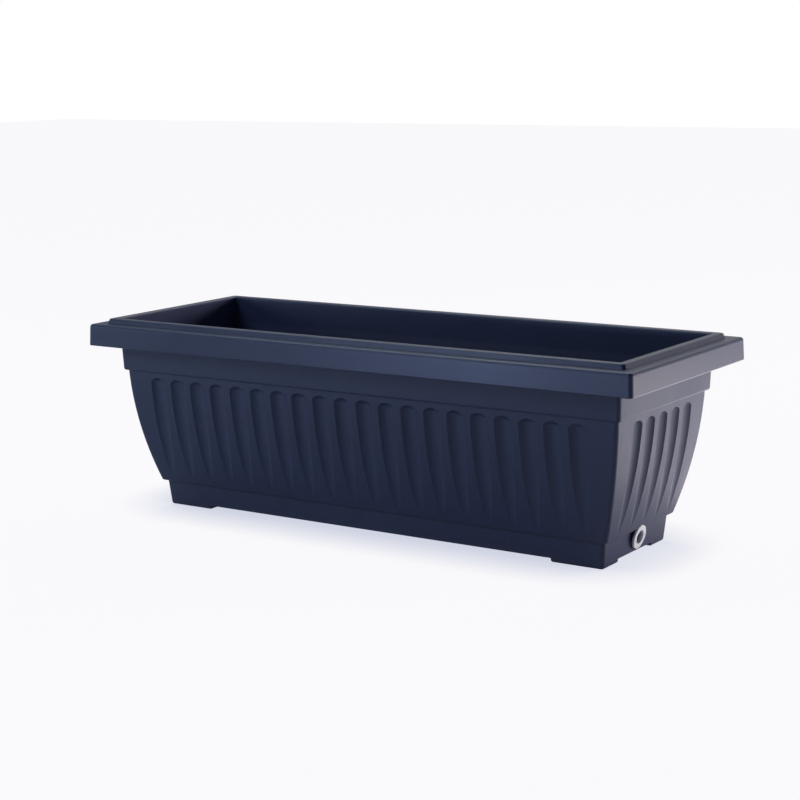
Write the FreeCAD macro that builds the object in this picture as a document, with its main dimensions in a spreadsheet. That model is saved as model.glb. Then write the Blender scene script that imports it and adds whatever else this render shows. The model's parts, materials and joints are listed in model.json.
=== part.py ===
import FreeCAD, Part
import math
import os
import Sketcher

# Long window box planter: a moulded trough with fluted sides, a drain plug in its +X end
# and a slotted grid that keeps the soil above the water space in the plinth.
# Millimetres. +X runs along the length, -Y is the front and +Z is up.
# The origin is at the middle of the footprint, on the ground.

SIZES = {
    # Outside box of the rim, and the wall thickness all over.
    "rim_length": 600,
    "rim_width": 230,
    "total_height": 192,
    "wall": 2.4,
    "corner_radius": 3.4,
    # Every side has the same outline. An inset is measured in from the rim's outer edge,
    # a level is a height above the ground, and a draft is how far a face leans over its height.
    "lip_height": 4.7,
    "lip_width": 8.3,
    "lip_draft": 1.7,
    "mouth_draft": 1.9,
    "skirt_height": 21.3,
    "skirt_draft": 0.8,
    "collar_height": 26.2,
    "collar_draft": 2,
    "collar_step": 3.3,
    "belly_inset": 25.9,
    "belly_radius": 447,
    "belly_rise": 23.1,
    "plinth_level": 25.1,
    "plinth_step": 3.8,
    "plinth_draft": 2.4,
    # Roundings of the outline's steps.
    "belly_foot_rounding": 3,
    "collar_foot_rounding": 2.2,
    "skirt_foot_rounding": 0.9,
    "skirt_head_rounding": 3,
    "lip_rounding": 2,
    "foot_rounding": 2.6,
    # Corner feet under the floor.
    "foot_height": 4,
    "foot_length": 52,
    "foot_width": 28,
    "floor_thickness": 2.6,
    # Flutes: the bottom of a round cutter that follows an arc and turns out at its head.
    "flute_pitch": 24.7,
    "flute_radius": 13.8,
    "flute_depth": 3.4,
    "flute_cutter_depth": 5.2,
    "flute_run_out": 0.4,
    "flute_path_radius": 600,
    "flute_head_gap": 10.1,
    # Drain seat on the +X end and the plug that sits in it.
    "seat_stand": 1.1,
    "seat_drop": 7.6,
    "seat_tilt": 12,
    "seat_radius": 9.6,
    "seat_height": 6,
    "seat_clearance": 0.5,
    "hole_clearance": 0.05,
    "plug_flange_radius": 11.3,
    "plug_flange_thickness": 2,
    "plug_flange_rounding": 0.6,
    "plug_neck_radius": 7.6,
    "plug_tip_radius": 7.1,
    "plug_shank_length": 7,
    "plug_bore_radius": 6.6,
    "plug_bore_tip_radius": 5.9,
    "plug_end_wall": 1.2,
    # Soil grid on the ledge above the plinth.
    "grid_gap": 0.9,
    "grid_thickness": 2.4,
    "grid_corner_radius": 5,
    "grid_border": 9,
    "grid_bar": 5,
    "slot_width": 4,
    "slot_pitch": 15,
    "slot_rows": 3,
    "grid_rib_thickness": 2,
    "grid_rib_depth": 7,
    "leg_radius": 7,
    "leg_wall": 1.8,
    "leg_gap": 0.3,
    "leg_pitch": 105,
    # How far a cutter runs past what it cuts.
    "overrun": 1,
}

# Two points closer than this are the same place when edges are picked.
SNAP = 0.05

# How far a flute's section is turned over for the flute's head, in degrees.
HEAD_SWEEP = 90

# Headings of the four walls: the direction each one faces, turned from +X.
END_HEADINGS = {"right": 0, "left": 180}
LONG_HEADINGS = {"back": 90, "front": 270}


def belly_inset_at(level, wall="0"):
    """Inset of the bulged side at a level, on its outer face or a wall's thickness inside."""
    drop = f"({BELLY_LEVEL} - {level})"
    return (f"(sizes.belly_inset + sizes.belly_radius"
            f" - sqrt((sizes.belly_radius - {wall})^2 - {drop}^2))")


# Levels and insets that follow from the sizes.
HALF_LENGTH = "sizes.rim_length / 2"
HALF_WIDTH = "sizes.rim_width / 2"
FLOOR_LEVEL = "(sizes.foot_height + sizes.floor_thickness)"
LEDGE_LEVEL = "(sizes.plinth_level + sizes.wall)"
FLANGE_LEVEL = "(sizes.total_height - sizes.lip_height)"
SKIRT_LEVEL = f"({FLANGE_LEVEL} - sizes.skirt_height)"
COLLAR_LEVEL = f"({SKIRT_LEVEL} - sizes.collar_height)"
INNER_STEP_LEVEL = f"({COLLAR_LEVEL} + sizes.wall)"
BELLY_LEVEL = f"({COLLAR_LEVEL} + sizes.belly_rise)"
FLUTE_HEAD_LEVEL = f"({COLLAR_LEVEL} - sizes.flute_head_gap)"
SEAT_LEVEL = "(sizes.plinth_level - sizes.seat_drop)"
BELLY_FOOT_INSET = belly_inset_at("sizes.plinth_level")
PLINTH_INSET = f"({BELLY_FOOT_INSET} + sizes.plinth_step)"
FOOT_INSET = f"({PLINTH_INSET} + sizes.plinth_draft)"
SEAT_INSET = f"({PLINTH_INSET} - sizes.seat_stand)"
COLLAR_FOOT_INSET = f"({belly_inset_at(COLLAR_LEVEL)} - sizes.collar_step)"
COLLAR_HEAD_INSET = f"({COLLAR_FOOT_INSET} - sizes.collar_draft)"
MOUTH_INSET = f"({COLLAR_HEAD_INSET} + sizes.mouth_draft)"
LIP_HEAD_INSET = f"({MOUTH_INSET} - sizes.lip_width)"
LIP_FOOT_INSET = f"({LIP_HEAD_INSET} - sizes.lip_draft)"
PLATE_INSET = f"({belly_inset_at(LEDGE_LEVEL, 'sizes.wall')} + sizes.grid_gap)"

doc = FreeCAD.newDocument("planter")
sheet = doc.addObject("Spreadsheet::Sheet", "sizes")
for row, (alias, number) in enumerate(SIZES.items(), start=1):
    sheet.set(f"A{row}", alias)
    sheet.set(f"B{row}", str(number))
    sheet.setAlias(f"B{row}", alias)
doc.recompute()


# Helpers

def value(formula):
    """Number that a formula over the sheet gives."""
    result = sheet.evalExpression(formula)
    return getattr(result, "Value", result)


def origin_part(body, role):
    """Origin plane or axis of a body."""
    return next(part for part in body.Origin.OriginFeatures if part.Role == role)


def new_body(name):
    body = doc.addObject("PartDesign::Body", name)
    body.Label = name
    return body


def new_sketch(body, name, role, level="0"):
    """Sketch on one of the body's own origin planes, raised along the plane's normal."""
    sketch = body.newObject("Sketcher::SketchObject", name)
    sketch.AttachmentSupport = [(origin_part(body, role), "")]
    sketch.MapMode = "FlatFace"
    sketch.setExpression("AttachmentOffset.Base.z", level)
    return sketch


def bind(sketch, kind, first, second, formula):
    """Dimension between two points of a sketch, driven by the sheet."""
    sketch.addConstraint(Sketcher.Constraint(kind, *first, *second, value(formula)))
    index = sketch.ConstraintCount - 1
    name = f"size_{index}"
    sketch.renameConstraint(index, name)
    sketch.setExpression(f"Constraints.{name}", formula)


def pin(sketch, point, across, up):
    """Hold a sketch point at the place that two formulas give."""
    root = (-1, 1)
    axes = {"DistanceX": -2, "DistanceY": -1}
    for kind, formula in (("DistanceX", across), ("DistanceY", up)):
        place = value(formula)
        if abs(place) < SNAP:
            sketch.addConstraint(Sketcher.Constraint("PointOnObject", *point, axes[kind]))
        elif place > 0:
            bind(sketch, kind, root, point, formula)
        else:
            bind(sketch, kind, point, root, f"-({formula})")


def draw_loop(sketch, corners):
    """Closed outline, drawn counterclockwise. A corner is its two formulas and, where the
    outline leaves it along an arc that bulges outwards, the arc's radius."""
    first = sketch.GeometryCount
    points = [FreeCAD.Vector(value(corner[0]), value(corner[1]), 0) for corner in corners]
    for index, corner in enumerate(corners):
        start = points[index]
        end = points[(index + 1) % len(points)]
        if len(corner) == 2:
            sketch.addGeometry(Part.LineSegment(start, end))
            continue
        radius = value(corner[2])
        half_chord = (end - start) / 2
        inwards = FreeCAD.Vector(-half_chord.y, half_chord.x, 0).normalize()
        centre = start + half_chord + inwards * math.sqrt(radius ** 2 - half_chord.Length ** 2)
        angles = [math.atan2(point.y - centre.y, point.x - centre.x) for point in (start, end)]
        circle = Part.Circle(centre, FreeCAD.Vector(0, 0, 1), radius)
        arc = sketch.addGeometry(Part.ArcOfCircle(circle, *angles))
        sketch.addConstraint(Sketcher.Constraint("Radius", arc, radius))
        name = f"bulge_{arc}"
        sketch.renameConstraint(sketch.ConstraintCount - 1, name)
        sketch.setExpression(f"Constraints.{name}", corner[2])
    for index, corner in enumerate(corners):
        after = first + (index + 1) % len(corners)
        sketch.addConstraint(Sketcher.Constraint("Coincident", first + index, 2, after, 1))
        pin(sketch, (first + index, 1), corner[0], corner[1])


def draw_rectangle(sketch, half_across, half_up, centre_up="0"):
    """Rectangle about the sketch's upright axis."""
    low = f"{centre_up} - ({half_up})"
    high = f"{centre_up} + ({half_up})"
    left = f"-({half_across})"
    draw_loop(sketch, [(left, low), (half_across, low), (half_across, high), (left, high)])


def draw_circle(sketch, radius, across="0", up="0"):
    centre = FreeCAD.Vector(value(across), value(up), 0)
    shape = Part.Circle(centre, FreeCAD.Vector(0, 0, 1), value(radius))
    circle = sketch.addGeometry(shape)
    sketch.addConstraint(Sketcher.Constraint("Radius", circle, value(radius)))
    name = f"round_{circle}"
    sketch.renameConstraint(sketch.ConstraintCount - 1, name)
    sketch.setExpression(f"Constraints.{name}", radius)
    pin(sketch, (circle, 3), across, up)


def add_feature(body, kind, name, grows=None, **settings):
    """Add a feature to a body. Where grows is given, the body's volume must rise or fall."""
    before = body.Shape.Volume if body.Tip else 0
    feature = body.newObject(f"PartDesign::{kind}", name)
    formulas = settings.pop("formulas", {})
    for key, setting in settings.items():
        setattr(feature, key, setting)
    for key, formula in formulas.items():
        feature.setExpression(key, formula)
    body.Tip = feature
    doc.recompute()
    after = body.Shape.Volume
    unchanged = grows is True and after <= before or grows is False and after >= before
    if unchanged or "Invalid" in feature.State:
        raise RuntimeError(f"{name} failed")
    return feature


def pad(body, sketch, name, length, **settings):
    return add_feature(body, "Pad", name, True, Profile=sketch,
                       formulas={"Length": length}, **settings)


def pocket(body, sketch, name, length, **settings):
    return add_feature(body, "Pocket", name, False, Profile=sketch,
                       formulas={"Length": length}, **settings)


def combine(body, name, kind, tools):
    """Fuse, Cut or Common of a body with other bodies."""
    feature = body.newObject("PartDesign::Boolean", name)
    feature.Type = kind
    feature.setObjects(tools)
    body.Tip = feature
    doc.recompute()
    return feature


def round_edges(body, name, radius, chosen):
    """Round those edges of the body that the test chosen picks."""
    base = body.Tip
    picked = [f"Edge{index}" for index, edge in enumerate(base.Shape.Edges, start=1)
              if chosen(edge)]
    if not picked:
        raise RuntimeError(f"{name} found no edges")
    add_feature(body, "Fillet", name, Base=(base, picked), formulas={"Radius": radius})


def inset_of(point):
    """How far a point lies inside the rim's outer edge."""
    return min(value(HALF_LENGTH) - abs(point.x), value(HALF_WIDTH) - abs(point.y))


def on_mitre(edge):
    """Whether an edge runs up a corner of the trough."""
    points = [vertex.Point for vertex in edge.Vertexes]
    mitre = value(HALF_LENGTH) - value(HALF_WIDTH)
    at_corner = all(abs(abs(point.x) - abs(point.y) - mitre) < SNAP for point in points)
    return at_corner and edge.BoundBox.ZLength > SNAP


def at_level(level, inset=None):
    """Test for edges that lie at a level and, where an inset is given, at that inset."""
    def chosen(edge):
        points = [vertex.Point for vertex in edge.Vertexes]
        flat = all(abs(point.z - value(level)) < SNAP for point in points)
        near = inset is None or all(abs(inset_of(point) - value(inset)) < SNAP
                                    for point in points)
        return flat and near
    return chosen


# Blocks of the trough

def outline(half, steps):
    """Both sides of a block, from the insets and levels of one side, going upwards."""
    right = [(f"{half} - {step[0]}", *step[1:]) for step in steps]
    left = []
    for index in reversed(range(len(steps))):
        inset, level = steps[index][:2]
        bulge = steps[index - 1][2:] if index > 0 else ()
        left.append((f"-({half} - {inset})", level, *bulge))
    return right + left


def mitred_block(name, steps):
    """Block whose four sides share one outline and meet in mitred corners."""
    block = new_body(name)
    sketch = new_sketch(block, f"{name}_long_outline", "XZ_Plane")
    draw_loop(sketch, outline(HALF_LENGTH, steps))
    pad(block, sketch, f"{name}_long", "sizes.rim_width", SideType="Symmetric")
    cross = new_body(f"{name}_cross")
    sketch = new_sketch(cross, f"{name}_cross_outline", "YZ_Plane")
    draw_loop(sketch, outline(HALF_WIDTH, steps))
    pad(cross, sketch, f"{name}_cross_pad", "sizes.rim_length", SideType="Symmetric")
    combine(block, f"{name}_mitre", "Common", [cross])
    return block


def make_rim():
    """Skirt, flange and lip, with the hollows under the flange and in the lip."""
    rim = mitred_block("rim", [
        ("0", SKIRT_LEVEL),
        ("sizes.skirt_draft", FLANGE_LEVEL),
        (LIP_FOOT_INSET, FLANGE_LEVEL),
        (LIP_HEAD_INSET, "sizes.total_height"),
    ])
    round_edges(rim, "rim_corners", "sizes.corner_radius", on_mitre)
    space = mitred_block("rim_space", [
        ("sizes.wall", f"{SKIRT_LEVEL} - sizes.overrun"),
        ("(sizes.skirt_draft + sizes.wall)", f"{FLANGE_LEVEL} - sizes.wall"),
    ])
    round_edges(space, "rim_space_corners", "sizes.corner_radius - sizes.wall", on_mitre)
    combine(rim, "rim_hollow", "Cut", [space])
    groove = new_sketch(rim, "lip_groove_outline", "XY_Plane", f"{FLANGE_LEVEL} - sizes.wall")
    for inset in (f"({LIP_HEAD_INSET} + sizes.wall)", f"({MOUTH_INSET} - sizes.wall)"):
        draw_rectangle(groove, f"{HALF_LENGTH} - {inset}", f"{HALF_WIDTH} - {inset}")
    pocket(rim, groove, "lip_groove", "sizes.lip_height", Reversed=True)
    return rim


def make_flutes(name, heading, wall="0"):
    """One row of flute cutters, or of the bumps that they make on a wall's inner face. A cutter
    follows an arc that leaves the belly at the plinth. In the row's frame the origin is on the
    flat back of the first cutter, where its head begins, X points out and Z up the arc."""
    row = new_body(name)
    radius = f"(sizes.flute_radius + {wall})"
    depth = "sizes.flute_cutter_depth"
    half_width = f"sqrt({radius}^2 - ({radius} - {depth})^2)"
    path = f"(sizes.flute_path_radius - {wall} + {depth})"
    head_inset = f"({belly_inset_at(FLUTE_HEAD_LEVEL)} + sizes.flute_depth)"
    tail_inset = f"({BELLY_FOOT_INSET} - sizes.flute_run_out)"
    rise = f"({FLUTE_HEAD_LEVEL} - sizes.plinth_level)"
    lean = f"atan(({tail_inset} - {head_inset}) / {rise})"
    half_turn = f"asin({rise} / cos({lean}) / 2 / sizes.flute_path_radius)"

    section = [("0", half_width, radius), ("0", f"-{half_width}")]
    head_section = new_sketch(row, f"{name}_head_section", "XY_Plane")
    draw_loop(head_section, section)
    head = add_feature(row, "Revolution", f"{name}_head", True, Profile=head_section,
                       ReferenceAxis=(head_section, ["V_Axis"]), Angle=HEAD_SWEEP)
    run_section = new_sketch(row, f"{name}_section", "XY_Plane")
    run_section.setExpression("AttachmentOffset.Base.x", f"-{path}")
    draw_loop(run_section, [(f"{path} + {corner[0]}", *corner[1:]) for corner in section])
    run = add_feature(row, "Revolution", f"{name}_run", True, Profile=run_section,
                      ReferenceAxis=(run_section, ["V_Axis"]),
                      formulas={"Angle": f"2 * {half_turn}"})
    ends = heading in END_HEADINGS.values()
    reach, across = (HALF_LENGTH, HALF_WIDTH) if ends else (HALF_WIDTH, HALF_LENGTH)
    count = f"floor(2 * ({across} - {BELLY_FOOT_INSET}) / sizes.flute_pitch)"
    add_feature(row, "LinearPattern", f"{name}_row", True, Originals=[head, run],
                Direction=(origin_part(row, "Y_Axis"), [""]), Mode="Spacing",
                formulas={"Offset": "sizes.flute_pitch", "Occurrences": count})

    head_lean = f"({lean} - {half_turn})"
    out = value(f"{reach} - {head_inset} + ({depth} - {wall}) * cos({head_lean})")
    start = value(f"-({count} - 1) * sizes.flute_pitch / 2")
    level = value(f"{FLUTE_HEAD_LEVEL} - ({depth} - {wall}) * sin({head_lean})")
    upright = FreeCAD.Rotation(FreeCAD.Vector(0, 1, 0), value(head_lean))
    place = FreeCAD.Placement(FreeCAD.Vector(out, start, level), upright)
    turn = FreeCAD.Rotation(FreeCAD.Vector(0, 0, 1), heading)
    row.Placement = FreeCAD.Placement(FreeCAD.Vector(), turn) * place
    return row


def all_flutes(name, wall="0"):
    """The rows of flute cutters for the four walls."""
    headings = {**END_HEADINGS, **LONG_HEADINGS}
    return [make_flutes(f"{name}_{side}", heading, wall) for side, heading in headings.items()]


def make_inside():
    """Space inside the trough: plinth, belly and mouth, with the flutes standing into it."""
    floor_inset = (f"({FOOT_INSET} + sizes.wall"
                   f" - sizes.plinth_draft * {FLOOR_LEVEL} / sizes.plinth_level)")
    collar_inset = f"({COLLAR_FOOT_INSET} + sizes.wall)"
    above_inset = (f"({MOUTH_INSET} - ({collar_inset} - {MOUTH_INSET})"
                   f" * sizes.overrun / (sizes.total_height - {INNER_STEP_LEVEL}))")
    inside = mitred_block("inside", [
        (floor_inset, FLOOR_LEVEL),
        (f"({PLINTH_INSET} + sizes.wall)", LEDGE_LEVEL),
        (belly_inset_at(LEDGE_LEVEL, "sizes.wall"), LEDGE_LEVEL, "sizes.belly_radius - sizes.wall"),
        (belly_inset_at(INNER_STEP_LEVEL, "sizes.wall"), INNER_STEP_LEVEL),
        (collar_inset, INNER_STEP_LEVEL),
        (above_inset, "sizes.total_height + sizes.overrun"),
    ])
    round_edges(inside, "inside_corners", "sizes.corner_radius - sizes.wall", on_mitre)
    recess = new_sketch(inside, "foot_recess_outline", "XY_Plane", FLOOR_LEVEL)
    far_x = f"({HALF_LENGTH} - {FOOT_INSET} - sizes.wall)"
    far_y = f"({HALF_WIDTH} - {FOOT_INSET} - sizes.wall)"
    near_x = f"({far_x} - sizes.foot_length + 2 * sizes.wall)"
    near_y = f"({far_y} - sizes.foot_width + 2 * sizes.wall)"
    for low_x, high_x in ((near_x, far_x), (f"-{far_x}", f"-{near_x}")):
        for low_y, high_y in ((near_y, far_y), (f"-{far_y}", f"-{near_y}")):
            draw_loop(recess, [(low_x, low_y), (high_x, low_y), (high_x, high_y), (low_x, high_y)])
    pad(inside, recess, "foot_recesses", "sizes.foot_height", Reversed=True)
    combine(inside, "inside_flutes", "Cut", all_flutes("bump", "sizes.wall"))
    return inside


def tilt_to_seat(feature):
    """Turn a sketch on the YZ plane to the drain seat, its normal out of the seat."""
    feature.AttachmentOffset = FreeCAD.Placement(
        FreeCAD.Vector(), FreeCAD.Rotation(FreeCAD.Vector(1, 0, 0), value("sizes.seat_tilt")))
    feature.setExpression("AttachmentOffset.Rotation.Angle", "sizes.seat_tilt")
    feature.setExpression("AttachmentOffset.Base.y", SEAT_LEVEL)
    feature.setExpression("AttachmentOffset.Base.z", f"{HALF_LENGTH} - {SEAT_INSET}")


def seat_sketch(body, name, radius):
    sketch = new_sketch(body, name, "YZ_Plane")
    tilt_to_seat(sketch)
    draw_circle(sketch, radius)
    return sketch


# Sub-parts

def make_trough():
    """The moulded trough: plinth on four feet, fluted belly, collar and rim in one piece."""
    trough = mitred_block("planter_trough", [
        (FOOT_INSET, "0"),
        (PLINTH_INSET, "sizes.plinth_level"),
        (BELLY_FOOT_INSET, "sizes.plinth_level", "sizes.belly_radius"),
        (belly_inset_at(COLLAR_LEVEL), COLLAR_LEVEL),
        (COLLAR_FOOT_INSET, COLLAR_LEVEL),
        (COLLAR_HEAD_INSET, FLANGE_LEVEL),
    ])
    round_edges(trough, "wall_corners", "sizes.corner_radius", on_mitre)
    combine(trough, "with_rim", "Fuse", [make_rim()])

    long_notch = new_sketch(trough, "long_notch_outline", "XZ_Plane")
    half_notch = f"({HALF_LENGTH} - {FOOT_INSET} - sizes.foot_length)"
    draw_rectangle(long_notch, half_notch, "sizes.foot_height")
    pocket(trough, long_notch, "long_notch", "sizes.rim_width", SideType="Symmetric")
    end_notch = new_sketch(trough, "end_notch_outline", "YZ_Plane")
    half_notch = f"({HALF_WIDTH} - {FOOT_INSET} - sizes.foot_width)"
    draw_rectangle(end_notch, half_notch, "sizes.foot_height")
    pocket(trough, end_notch, "end_notch", "sizes.rim_length", SideType="Symmetric")

    round_edges(trough, "foot_edges", "sizes.foot_rounding", at_level("0"))
    belly_foot = at_level("sizes.plinth_level", BELLY_FOOT_INSET)
    round_edges(trough, "belly_foot_edge", "sizes.belly_foot_rounding", belly_foot)
    collar_foot = at_level(COLLAR_LEVEL, COLLAR_FOOT_INSET)
    round_edges(trough, "collar_foot_edge", "sizes.collar_foot_rounding", collar_foot)
    round_edges(trough, "skirt_foot_edge", "sizes.skirt_foot_rounding", at_level(SKIRT_LEVEL, "0"))
    skirt_head = at_level(FLANGE_LEVEL, "sizes.skirt_draft")
    round_edges(trough, "skirt_head_edge", "sizes.skirt_head_rounding", skirt_head)
    lip_head = at_level("sizes.total_height", LIP_HEAD_INSET)
    round_edges(trough, "lip_outer_edge", "sizes.lip_rounding", lip_head)

    boss = seat_sketch(trough, "seat_boss_outline", "sizes.seat_radius")
    pad(trough, boss, "seat_boss", "sizes.seat_height", Reversed=True)
    facing = seat_sketch(trough, "seat_facing_outline",
                         "sizes.plug_flange_radius + sizes.seat_clearance")
    pocket(trough, facing, "seat_facing", "sizes.seat_height", Reversed=True)
    hole = seat_sketch(trough, "drain_hole_outline",
                       "sizes.plug_neck_radius + sizes.hole_clearance")
    pocket(trough, hole, "drain_hole", "sizes.seat_height + sizes.plug_shank_length")

    combine(trough, "flutes_and_inside", "Cut",
            all_flutes("flute") + [make_inside()])
    mouth = at_level("sizes.total_height", MOUTH_INSET)
    round_edges(trough, "lip_inner_edge", "sizes.lip_rounding", mouth)
    return trough


def make_plug():
    """Hollow drain plug, turned about its own X axis, which points out of the seat."""
    plug = new_body("drain_plug")
    section = new_sketch(plug, "plug_section", "XZ_Plane")
    flange = "sizes.plug_flange_thickness"
    rounding = "sizes.plug_flange_rounding"
    draw_loop(section, [
        ("-sizes.plug_shank_length", "0"),
        ("sizes.plug_end_wall - sizes.plug_shank_length", "0"),
        ("sizes.plug_end_wall - sizes.plug_shank_length", "sizes.plug_bore_tip_radius"),
        (flange, "sizes.plug_bore_radius"),
        (flange, f"sizes.plug_flange_radius - {rounding}", rounding),
        (f"{flange} - {rounding}", "sizes.plug_flange_radius"),
        ("0", "sizes.plug_flange_radius"),
        ("0", "sizes.plug_neck_radius"),
        ("-sizes.plug_shank_length", "sizes.plug_tip_radius"),
    ])
    add_feature(plug, "Revolution", "plug_turned", True, Profile=section,
                ReferenceAxis=(section, ["H_Axis"]), Angle=360)
    place = FreeCAD.Vector(value(f"{HALF_LENGTH} - {SEAT_INSET}"), 0, value(SEAT_LEVEL))
    tilt = FreeCAD.Rotation(FreeCAD.Vector(0, 1, 0), value("sizes.seat_tilt"))
    plug.Placement = FreeCAD.Placement(place, tilt)
    return plug


def make_grid():
    """Slotted plate on the plinth's ledge, with ribs and hollow legs under it."""
    grid = new_body("soil_grid")
    plate = new_sketch(grid, "plate_outline", "XY_Plane", LEDGE_LEVEL)
    half_plate = f"({HALF_WIDTH} - {PLATE_INSET})"
    draw_rectangle(plate, f"{HALF_LENGTH} - {PLATE_INSET}", half_plate)
    pad(grid, plate, "plate", "sizes.grid_thickness")
    round_edges(grid, "plate_corners", "sizes.grid_corner_radius",
                lambda edge: edge.BoundBox.ZLength > SNAP)

    # Rows of slots run from border to border, with a bar between them.
    room = f"2 * ({HALF_LENGTH} - {PLATE_INSET})"
    columns = f"floor(({room} - sizes.slot_width) / sizes.slot_pitch)"
    first_column = f"(({columns} - 1) * sizes.slot_pitch / 2)"
    row_pitch = f"((2 * ({half_plate} - sizes.grid_border) + sizes.grid_bar) / sizes.slot_rows)"
    slot_rows = int(value("sizes.slot_rows"))
    middle_row = (slot_rows - 1) / 2
    slots = new_sketch(grid, "slot_outline", "XY_Plane", LEDGE_LEVEL)
    low_x = f"-{first_column} - sizes.slot_width / 2"
    high_x = f"-{first_column} + sizes.slot_width / 2"
    for row in range(slot_rows):
        low_y = f"({row - middle_row} - 1 / 2) * {row_pitch} + sizes.grid_bar / 2"
        high_y = f"({row - middle_row} + 1 / 2) * {row_pitch} - sizes.grid_bar / 2"
        draw_loop(slots, [(low_x, low_y), (high_x, low_y), (high_x, high_y), (low_x, high_y)])
    column = pocket(grid, slots, "slot_column", "sizes.grid_thickness", Reversed=True)
    add_feature(grid, "LinearPattern", "slots", False, Originals=[column],
                Direction=(origin_part(grid, "X_Axis"), [""]), Mode="Spacing",
                formulas={"Offset": "sizes.slot_pitch", "Occurrences": columns})

    # Ribs and legs run under the bars. The ribs end inside the plinth's leaning walls.
    bars = [f"{bar - middle_row + 1 / 2} * {row_pitch}" for bar in range(slot_rows - 1)]
    ribs = new_sketch(grid, "rib_outline", "XY_Plane", LEDGE_LEVEL)
    rib_end = f"{HALF_LENGTH} - {FOOT_INSET} - sizes.wall - sizes.grid_gap"
    for bar in bars:
        draw_rectangle(ribs, rib_end, "sizes.grid_rib_thickness / 2", bar)
    pad(grid, ribs, "ribs", "sizes.grid_rib_depth", Reversed=True)

    leg = new_sketch(grid, "leg_outline", "XY_Plane", LEDGE_LEVEL)
    leg_columns = f"(floor({room} / sizes.leg_pitch) + 1)"
    leg_x = f"-({leg_columns} - 1) * sizes.leg_pitch / 2"
    for bar in bars:
        draw_circle(leg, "sizes.leg_radius", leg_x, bar)
        draw_circle(leg, "sizes.leg_radius - sizes.leg_wall", leg_x, bar)
    leg_height = f"{LEDGE_LEVEL} - {FLOOR_LEVEL} - sizes.leg_gap"
    first_legs = pad(grid, leg, "first_legs", leg_height, Reversed=True)
    add_feature(grid, "LinearPattern", "legs", True, Originals=[first_legs],
                Direction=(origin_part(grid, "X_Axis"), [""]), Mode="Spacing",
                formulas={"Offset": "sizes.leg_pitch", "Occurrences": leg_columns})
    return grid


sub_parts = [make_trough(), make_plug(), make_grid()]
doc.recompute()

for item in doc.Objects:
    if "Invalid" in item.State or "Error" in item.State:
        raise RuntimeError(f"{item.Label} did not compute")
os.makedirs("parts", exist_ok=True)
for sub_part in sub_parts:
    shape = sub_part.Shape
    if shape.isNull() or not shape.isValid() or len(shape.Solids) != 1:
        raise RuntimeError(f"{sub_part.Label} is not one valid solid")
    shape.exportStep(f"parts/{sub_part.Label}.step")
    print(sub_part.Label, round(shape.Volume), [round(edge, 2) for edge in (
        shape.BoundBox.XLength, shape.BoundBox.YLength, shape.BoundBox.ZLength)])
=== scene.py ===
import json
import math
from typing import NamedTuple

import bpy
from mathutils import Matrix, Vector

# Looks of a window box planter: moulded slate blue plastic, a milky drain plug and a dark soil grid.
# Metres. +X runs along the length, -Y is the front and +Z is up.

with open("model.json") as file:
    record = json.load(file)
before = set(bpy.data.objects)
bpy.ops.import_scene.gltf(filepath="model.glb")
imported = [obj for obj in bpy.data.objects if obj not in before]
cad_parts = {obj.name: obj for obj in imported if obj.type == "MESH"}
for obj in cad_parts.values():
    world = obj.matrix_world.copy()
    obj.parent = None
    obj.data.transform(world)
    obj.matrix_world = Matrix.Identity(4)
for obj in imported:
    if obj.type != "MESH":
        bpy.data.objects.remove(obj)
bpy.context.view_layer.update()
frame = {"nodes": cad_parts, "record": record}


class Softbox(NamedTuple):
    """An area lamp. It can be left out of matt light or out of gloss."""
    place: tuple
    target: tuple
    size: tuple
    watts: float
    colour: tuple
    in_matt: bool = True
    in_gloss: bool = True


class Plastic(NamedTuple):
    """A moulded plastic. The pale colour is that of its clouds, and the rim has its own roughness."""
    slot: str
    base: tuple
    pale: tuple
    roughness: float
    rim_roughness: float
    grain_size: float
    grain_height: float
    edge_radius: float


# Camera, at the photograph's viewing angle
CAMERA_PLACE = (0.996, -1.5021, 0.4547)
CAMERA_YAW = math.radians(33.701)
CAMERA_PITCH = math.radians(10.535)
CAMERA_ROLL = math.radians(-0.797)
CAMERA_LENS = 85.82
CAMERA_SENSOR = 36

# Floor. Its glow is what the camera and gloss see, and its shade lies where the object stands close.
# Under the right end the shade is lifted, because the lamp behind that end lights the floor there.
FLOOR_REACH = 8
FLOOR_COLOUR = (0.8, 0.8, 0.84)
FLOOR_GLOW = (0.99, 0.98, 1.0)
FLOOR_GLOW_SHARE = 0.95
FLOOR_SHADE = (0.66, 0.69, 0.8)
FLOOR_SHADE_REACH = 0.08
FLOOR_SHADE_OPENNESS = (0.38, 0.9)
FLOOR_SHADE_SAMPLES = 16
LIFTED_FROM_X = (0.2, 0.3)
LIFTED_SHARE = 0.65
FLOOR_IN_GLOSS_FROM_Y = (-0.1, 0.1)

# Backdrop and room, by a ray's direction. The backdrop begins where the cosine to BRIGHT_SIDE is in
# BACKDROP_EDGE. In gloss it fades over BACKDROP_TOP to a share that is smaller towards the left.
WHITE = (1.0, 1.0, 1.0)
BRIGHT_SIDE = Vector((-0.34, 0.94, 0))
BACKDROP_EDGE = (0.3, 0.65)
BACKDROP_TOP = (0.0, 0.12)
FADE_LEFT_TO_RIGHT = (-0.52, -0.35)
FADED_SHARES = (0.22, 0.5)
ROOM_BEHIND = (0.06, 0.06, 0.065)
ROOM_IN_FRONT = (0.03, 0.04, 0.06)

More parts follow.
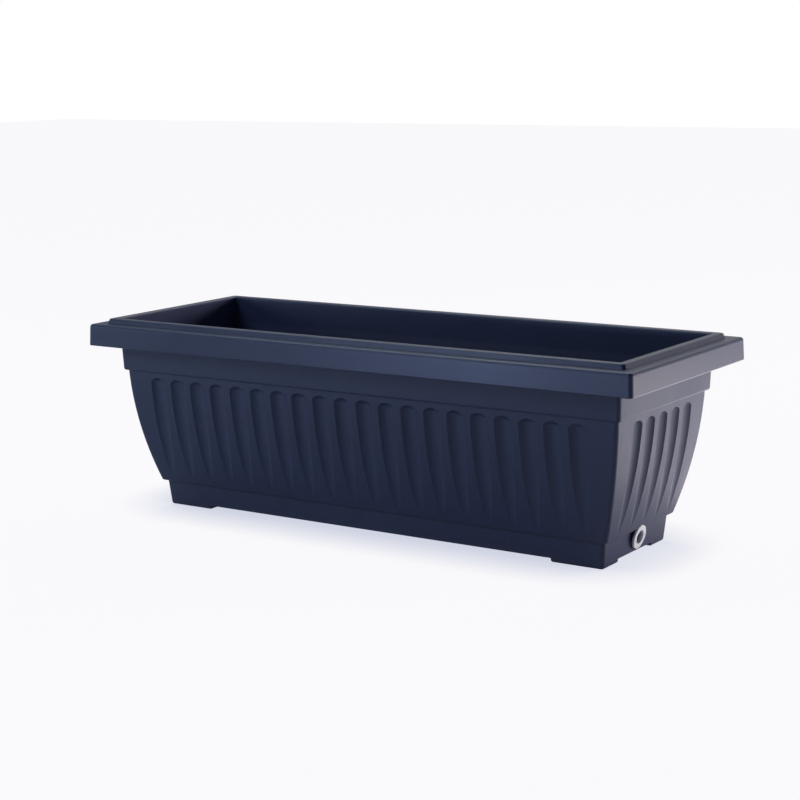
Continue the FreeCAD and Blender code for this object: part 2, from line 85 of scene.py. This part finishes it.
SOFTBOXES = {
    "key_softbox": Softbox(
        place=(-0.8, -1.45, 1.05), target=(-0.05, -0.1, 0.1), size=(0.5, 0.5),
        watts=4.4, colour=(0.51, 0.62, 1.0)),
    "left_softbox": Softbox(
        place=(-1.6, -0.9, 0.4), target=(-0.05, 0, 0.1), size=(0.9, 0.5),
        watts=5.1, colour=(0.65, 0.78, 1.0)),
    "sheen_softbox": Softbox(
        place=(-0.586, -1.45, 0.15), target=(0.19, -0.1, 0.17), size=(0.3, 0.2),
        watts=2.9, colour=(0.47, 0.6, 1.0), in_matt=False),
    "right_softbox": Softbox(
        place=(2.42, 2.6, 0.6), target=(0.28, 0, 0.1), size=(1.2, 0.7),
        watts=110, colour=(1.0, 0.84, 0.88), in_gloss=False),
    "bounce_card": Softbox(
        place=(0.66, 0.56, 0.004), target=(0.66, 0.56, 1), size=(0.9, 0.85),
        watts=5.2, colour=(1.0, 0.93, 0.95)),
    "top_softbox": Softbox(
        place=(-0.8, -0.1, 1.6), target=(0, 0, 0.15), size=(1.2, 0.8),
        watts=8, colour=(0.62, 0.8, 1.0)),
    "back_softbox": Softbox(
        place=(-0.4, 1.2, 1.5), target=(0, 0, 0.1), size=(1.2, 0.6),
        watts=6, colour=(0.9, 0.93, 1.0)),
}

# Colours are those of the surfaces under even light.
MOULDED_PLASTICS = {
    "planter_trough": Plastic(
        slot="trough_plastic", base=(0.038, 0.048, 0.09), pale=(0.047, 0.058, 0.105),
        roughness=0.5, rim_roughness=0.34, grain_size=0.0007, grain_height=0.00004, edge_radius=0.0006),
    "soil_grid": Plastic(
        slot="grid_plastic", base=(0.022, 0.023, 0.027), pale=(0.03, 0.031, 0.036),
        roughness=0.5, rim_roughness=0.5, grain_size=0.0009, grain_height=0.00003, edge_radius=0.0004),
}
PLASTIC_IOR = 1.5

# Height of the skirt's foot. Everything above it is the rim, which has no drag marks. The rim's
# surface blends into the belly's over RIM_BLEND below it.
RIM_FOOT = 0.166
RIM_BLEND = 0.001

# Marks in moulded plastic. Scales count features in a metre. A range gives the noise levels at which
# a mark starts and is full.
NOISE_RANGE = (0.3, 0.7)
CLOUD_SCALE = 7.0
CLOUD_DETAIL = 3.0
CLOUD_ROUGHNESS = (-0.03, 0.04)
STREAK_SCALE = (420.0, 420.0, 9.0)
STREAK_RANGE = (0.5, 0.8)
STREAK_SHARE = 0.18
STREAK_ROUGHNESS = 0.08
GRAIN_DETAIL = 3.0
GRAIN_CRISPNESS = 0.65
GRAIN_SPECKLE = (0.86, 1.14)
PIT_SCALE_SHARE = 0.55
PIT_HEIGHT_SHARE = 0.35

# Wear and painted light. Edges are found by the cosine between the rounded normal and the face's, and
# creases by how open the surface lies. Edges are lighter from rubbing and a painted highlight, drag
# marks are lighter, and creases carry painted shade.
EDGE_AND_CREASE_SAMPLES = 6
EDGE_COSINES = (0.998, 0.93)
OPENNESS_REACH = 0.006
RUBBED_AND_HIGHLIT_OPENNESS = (0.75, 0.95)
RUBBED_AND_HIGHLIT_SHARE = 0.8
RUBBED_POLISH = 0.04
LIGHTER_GAIN = 1.6
LIGHTER_LIFT = 0.012
# Painted shade in creases
CREASE_SHADE_OPENNESS = (0.75, 0.4)
CREASE_SHADE_SHARE = 0.7
CREASE_SHADE_GAIN = 0.45

# Drain plug. Painted shade darkens the walls of its bore over the two depths given here, measured from its
# face.
PLUG_WHITE = (0.87, 0.96, 0.98)
PLUG_CLOUD = (0.83, 0.93, 0.96)
PLUG_BORE_SHADE = (0.025, 0.045, 0.1)
PLUG_SHADE_DEPTHS = (0.001, 0.005)
PLUG_CLOUD_SCALE = 90.0
PLUG_CLOUD_RANGE = (0.35, 0.65)
PLUG_ROUGHNESS = (0.34, 0.46)
PLUG_GRAIN_SCALE = 1400.0
PLUG_GRAIN_HEIGHT = 0.00002
PLUG_EDGE_RADIUS = 0.0003
PLUG_MILKINESS = 0.4
PLUG_SCATTER = 0.002
PLUG_SCATTER_RATIOS = (1.0, 1.0, 1.0)


# Helpers for shader nodes

class Shader:
    """A node tree, built from calls that return sockets."""

    def __init__(self, tree, output):
        self.tree = tree
        self.tree.nodes.clear()
        self.output = self.tree.nodes.new(f"ShaderNode{output}")

    def node(self, kind, inputs=(), result=0, **settings):
        """Add a node. Inputs maps socket names or numbers to values or to other nodes' sockets."""
        made = self.tree.nodes.new(f"ShaderNode{kind}")
        for key, setting in settings.items():
            setattr(made, key, setting)
        for key, entry in dict(inputs).items():
            if isinstance(entry, bpy.types.NodeSocket):
                self.tree.links.new(entry, made.inputs[key])
            else:
                made.inputs[key].default_value = entry
        return made.outputs[result]

    def math(self, operation, first, second):
        return self.node("Math", {0: first, 1: second}, operation=operation)

    def dot(self, first, second):
        return self.node("VectorMath", {0: first, 1: second}, "Value", operation="DOT_PRODUCT")

    def part(self, place, axis):
        """One coordinate of a place: X, Y or Z."""
        return self.node("SeparateXYZ", {"Vector": place}, axis)

    def spread(self, entry, low, high, to_low=0.0, to_high=1.0):
        """Map a range of values to another, held at its ends."""
        return self.node("MapRange", {"Value": entry, "From Min": low, "From Max": high,
                                      "To Min": to_low, "To Max": to_high})

    def blend(self, factor, first, second, mode="MIX"):
        """Mix two colours. The node's sockets share their names, so they go by number."""
        return self.node("Mix", {0: factor, 6: first, 7: second}, result=2,
                         data_type="RGBA", blend_type=mode)

    def tint(self, colour, mask, share, over):
        """Lay a plain colour over another, by a share of the mask."""
        return self.blend(self.math("MULTIPLY", mask, share), colour, opaque(over))

    def noise(self, place, scale, detail=2.0, roughness=0.5):
        return self.node("TexNoise", {"Vector": place, "Scale": scale, "Detail": detail,
                                      "Roughness": roughness})

    def openness(self, reach, samples):
        return self.node("AmbientOcclusion", {"Distance": reach}, "AO", samples=samples)

    def background_rays(self):
        """One for the rays that see the backdrop: first the camera's and glass's, then gloss's."""
        sockets = self.tree.nodes.new("ShaderNodeLightPath").outputs
        direct = self.math("MAXIMUM", sockets["Is Camera Ray"], sockets["Is Transmission Ray"])
        return direct, sockets["Is Glossy Ray"]

    def finish(self, surface):
        self.tree.links.new(surface, self.output.inputs["Surface"])


def opaque(colour):
    return (*colour, 1.0)


def new_material(name):
    material = bpy.data.materials.new(name)
    material.use_nodes = True
    return material, Shader(material.node_tree, "OutputMaterial")


# Materials

def find_wear_and_painted_light(shader, edge_radius):
    """The rounded normal, how much a point is worn by rubbing and lit by a painted edge highlight, and how
    much painted shade it gets deep in creases.
    """
    rounded = shader.node("Bevel", {"Radius": edge_radius}, samples=EDGE_AND_CREASE_SAMPLES)
    flat = shader.node("NewGeometry", result="Normal")
    edge = shader.spread(shader.dot(rounded, flat), *EDGE_COSINES)
    open_share = shader.openness(OPENNESS_REACH, EDGE_AND_CREASE_SAMPLES)
    # Edges carry rubbing and a painted highlight, and creases carry painted shade.
    rubbed_and_highlit = shader.math("MULTIPLY", edge, shader.spread(open_share, *RUBBED_AND_HIGHLIT_OPENNESS))
    crease_shade = shader.spread(open_share, *CREASE_SHADE_OPENNESS)
    return rounded, rubbed_and_highlit, crease_shade


def moulded_plastic(plastic):
    """Injection-moulded plastic: spark-eroded grain, faint flow clouds, edges lightened by rubbing and
    a painted highlight, painted shade in the creases and fine drag marks from the mould. The rim above the
    collar is smoother."""
    material, shader = new_material(plastic.slot)
    place = shader.node("TexCoord", result="Object")
    on_rim = shader.spread(shader.part(place, "Z"), RIM_FOOT - RIM_BLEND, RIM_FOOT)
    clouds = shader.noise(place, CLOUD_SCALE, CLOUD_DETAIL)
    streak_place = shader.node("Mapping", {"Vector": place, "Scale": STREAK_SCALE})
    streaks = shader.spread(shader.noise(streak_place, 1.0), *STREAK_RANGE)
    streaks = shader.math("MULTIPLY", streaks, shader.math("SUBTRACT", 1.0, on_rim))
    grain = shader.noise(place, 1 / plastic.grain_size, GRAIN_DETAIL, GRAIN_CRISPNESS)
    pits = shader.node("TexVoronoi", {"Vector": place, "Scale": PIT_SCALE_SHARE / plastic.grain_size})
    rounded, rubbed_and_highlit, crease_shade = find_wear_and_painted_light(shader, plastic.edge_radius)

    colour = shader.blend(shader.spread(clouds, *NOISE_RANGE), opaque(plastic.base), opaque(plastic.pale))
    speckle = shader.spread(grain, *NOISE_RANGE, *GRAIN_SPECKLE)
    speckle = shader.node("CombineColor", {0: speckle, 1: speckle, 2: speckle})
    colour = shader.blend(1.0, colour, speckle, "MULTIPLY")
    lighter = [channel * LIGHTER_GAIN + LIGHTER_LIFT for channel in plastic.pale]
    crease_shade_colour = [channel * CREASE_SHADE_GAIN for channel in plastic.base]
    # Edges lighter: partly rubbing, partly a painted highlight.
    colour = shader.tint(colour, rubbed_and_highlit, RUBBED_AND_HIGHLIT_SHARE, lighter)
    colour = shader.tint(colour, streaks, STREAK_SHARE, lighter)
    # Painted shade: creases darker.
    colour = shader.tint(colour, crease_shade, CREASE_SHADE_SHARE, crease_shade_colour)

    roughness = shader.spread(on_rim, 0.0, 1.0, plastic.roughness, plastic.rim_roughness)
    roughness = shader.math("ADD", roughness, shader.spread(clouds, *NOISE_RANGE, *CLOUD_ROUGHNESS))
    roughness = shader.math("SUBTRACT", roughness, shader.math("MULTIPLY", rubbed_and_highlit, RUBBED_POLISH))
    roughness = shader.math("ADD", roughness, shader.math("MULTIPLY", streaks, STREAK_ROUGHNESS))

    relief = shader.math("ADD", grain, shader.math("MULTIPLY", pits, PIT_HEIGHT_SHARE))
    normal = shader.node("Bump", {"Strength": 1.0, "Distance": plastic.grain_height, "Height": relief,
                                  "Normal": rounded})
    shader.finish(shader.node("BsdfPrincipled", {
        "Base Color": colour, "Roughness": roughness, "Normal": normal, "IOR": PLASTIC_IOR}))
    return material


def plug_plastic():
    """Milky polyethylene: pale, slightly translucent, with a soft uneven gloss. The walls of the bore
    carry painted shade, more the deeper they lie."""
    material, shader = new_material("plug_plastic")
    place = shader.node("TexCoord", result="Object")
    clouds = shader.noise(place, PLUG_CLOUD_SCALE)
    grain = shader.noise(place, PLUG_GRAIN_SCALE)
    rounded = shader.node("Bevel", {"Radius": PLUG_EDGE_RADIUS}, samples=EDGE_AND_CREASE_SAMPLES)
    colour = shader.blend(shader.spread(clouds, *PLUG_CLOUD_RANGE), opaque(PLUG_WHITE), opaque(PLUG_CLOUD))
    # Painted shade: the bore's walls get darker the deeper they lie.
    depths = [PLUG_FACE - depth for depth in PLUG_SHADE_DEPTHS]
    bore_shade = shader.spread(shader.dot(place, PLUG_AIM), *depths)
    colour = shader.blend(bore_shade, colour, opaque(PLUG_BORE_SHADE))
    roughness = shader.spread(clouds, *NOISE_RANGE, *PLUG_ROUGHNESS)
    normal = shader.node("Bump", {"Strength": 1.0, "Distance": PLUG_GRAIN_HEIGHT, "Height": grain,
                                  "Normal": rounded})
    shader.finish(shader.node("BsdfPrincipled", {
        "Base Color": colour, "Roughness": roughness, "Normal": normal, "IOR": PLASTIC_IOR,
        "Subsurface Weight": PLUG_MILKINESS, "Subsurface Radius": PLUG_SCATTER_RATIOS,
        "Subsurface Scale": PLUG_SCATTER}))
    return material


def floor_paper():
    """White studio paper. Where the camera or gloss sees it, it glows, so that it runs into the
    backdrop, and the glow fades where the object stands close. All other light just bounces."""
    material, shader = new_material("floor_paper")
    direct, glossy = shader.background_rays()
    place = shader.node("NewGeometry", result="Position")
    behind = shader.spread(shader.part(place, "Y"), *FLOOR_IN_GLOSS_FROM_Y)
    seen = shader.math("MAXIMUM", direct, shader.math("MULTIPLY", glossy, behind))
    open_share = shader.openness(FLOOR_SHADE_REACH, FLOOR_SHADE_SAMPLES)
    lifted = shader.spread(shader.part(place, "X"), *LIFTED_FROM_X, 0.0, LIFTED_SHARE)
    lifted = shader.math("MULTIPLY", lifted, direct)
    shade = shader.math("MAXIMUM", shader.spread(open_share, *FLOOR_SHADE_OPENNESS), lifted)
    glow = shader.node("Emission", {"Color": shader.blend(shade, opaque(FLOOR_SHADE), opaque(FLOOR_GLOW))})
    paper = shader.node("BsdfDiffuse", {"Color": opaque(FLOOR_COLOUR)})
    glowing = shader.math("MULTIPLY", seen, FLOOR_GLOW_SHARE)
    shader.finish(shader.node("MixShader", {0: glowing, 1: paper, 2: glow}))
    return material


# Stage, light and camera

def make_floor():
    mesh = bpy.data.meshes.new("floor")
    corners = [(-FLOOR_REACH, -FLOOR_REACH, 0), (FLOOR_REACH, -FLOOR_REACH, 0),
               (FLOOR_REACH, FLOOR_REACH, 0), (-FLOOR_REACH, FLOOR_REACH, 0)]
    mesh.from_pydata(corners, [], [(0, 1, 2, 3)])
    floor = bpy.data.objects.new("floor", mesh)
    bpy.context.scene.collection.objects.link(floor)
    mesh.materials.append(floor_paper())


def make_sky():
    """White backdrop all round for the camera, in gloss only behind the object and as high as such a
    backdrop stands, and a dim blue room for the light on the object."""
    world = bpy.data.worlds.new("studio")
    world.use_nodes = True
    shader = Shader(world.node_tree, "OutputWorld")
    direct, glossy = shader.background_rays()
    aim = shader.node("TexCoord", result="Generated")
    behind = shader.spread(shader.dot(aim, BRIGHT_SIDE), *BACKDROP_EDGE)
    room = shader.blend(behind, opaque(ROOM_IN_FRONT), opaque(ROOM_BEHIND))
    below_top = shader.spread(shader.part(aim, "Z"), *BACKDROP_TOP, 1.0, 0.0)
    faded = shader.spread(shader.part(aim, "X"), *FADE_LEFT_TO_RIGHT, *FADED_SHARES)
    backdrop = shader.math("MULTIPLY", behind, shader.math("MAXIMUM", below_top, faded))
    seen = shader.math("MAXIMUM", direct, shader.math("MULTIPLY", glossy, backdrop))
    shader.finish(shader.node("Background", {"Color": shader.blend(seen, room, opaque(WHITE))}))
    bpy.context.scene.world = world


def make_softbox(name, softbox):
    lamp = bpy.data.lights.new(name, "AREA")
    lamp.shape = "RECTANGLE"
    lamp.size, lamp.size_y = softbox.size
    lamp.energy = softbox.watts
    lamp.color = softbox.colour
    box = bpy.data.objects.new(name, lamp)
    bpy.context.scene.collection.objects.link(box)
    box.location = softbox.place
    aim = Vector(softbox.target) - Vector(softbox.place)
    box.rotation_mode = "QUATERNION"
    box.rotation_quaternion = aim.to_track_quat("-Z", "Y")
    box.visible_camera = False
    box.visible_diffuse = softbox.in_matt
    box.visible_glossy = softbox.in_gloss


def make_camera():
    data = bpy.data.cameras.new("camera")
    data.lens = CAMERA_LENS
    data.sensor_width = CAMERA_SENSOR
    camera = bpy.data.objects.new("camera", data)
    bpy.context.scene.collection.objects.link(camera)
    turn = Matrix.Rotation(CAMERA_YAW, 4, "Z")
    tip = Matrix.Rotation(math.pi / 2 - CAMERA_PITCH, 4, "X")
    roll = Matrix.Rotation(CAMERA_ROLL, 4, "Z")
    camera.matrix_world = Matrix.Translation(CAMERA_PLACE) @ turn @ tip @ roll
    bpy.context.scene.camera = camera


# The plug's axis points out of its seat, and its face is the furthest point along that axis.
PLUG_AIM = Vector(next(joint["axis"] for joint in frame["record"]["behaviour"]["joints"]
                       if joint["name"] == "plug_pull"))
PLUG_FACE = max(PLUG_AIM.dot(vertex.co) for vertex in frame["nodes"]["drain_plug"].data.vertices)

make_camera()
make_floor()
make_sky()
for name, softbox in SOFTBOXES.items():
    make_softbox(name, softbox)

materials = {name: moulded_plastic(plastic) for name, plastic in MOULDED_PLASTICS.items()}
materials["drain_plug"] = plug_plastic()
for name, material in materials.items():
    piece = frame["nodes"][name]
    piece.data.materials.clear()
    piece.data.materials.append(material)

bpy.context.scene.view_settings.view_transform = "Standard"
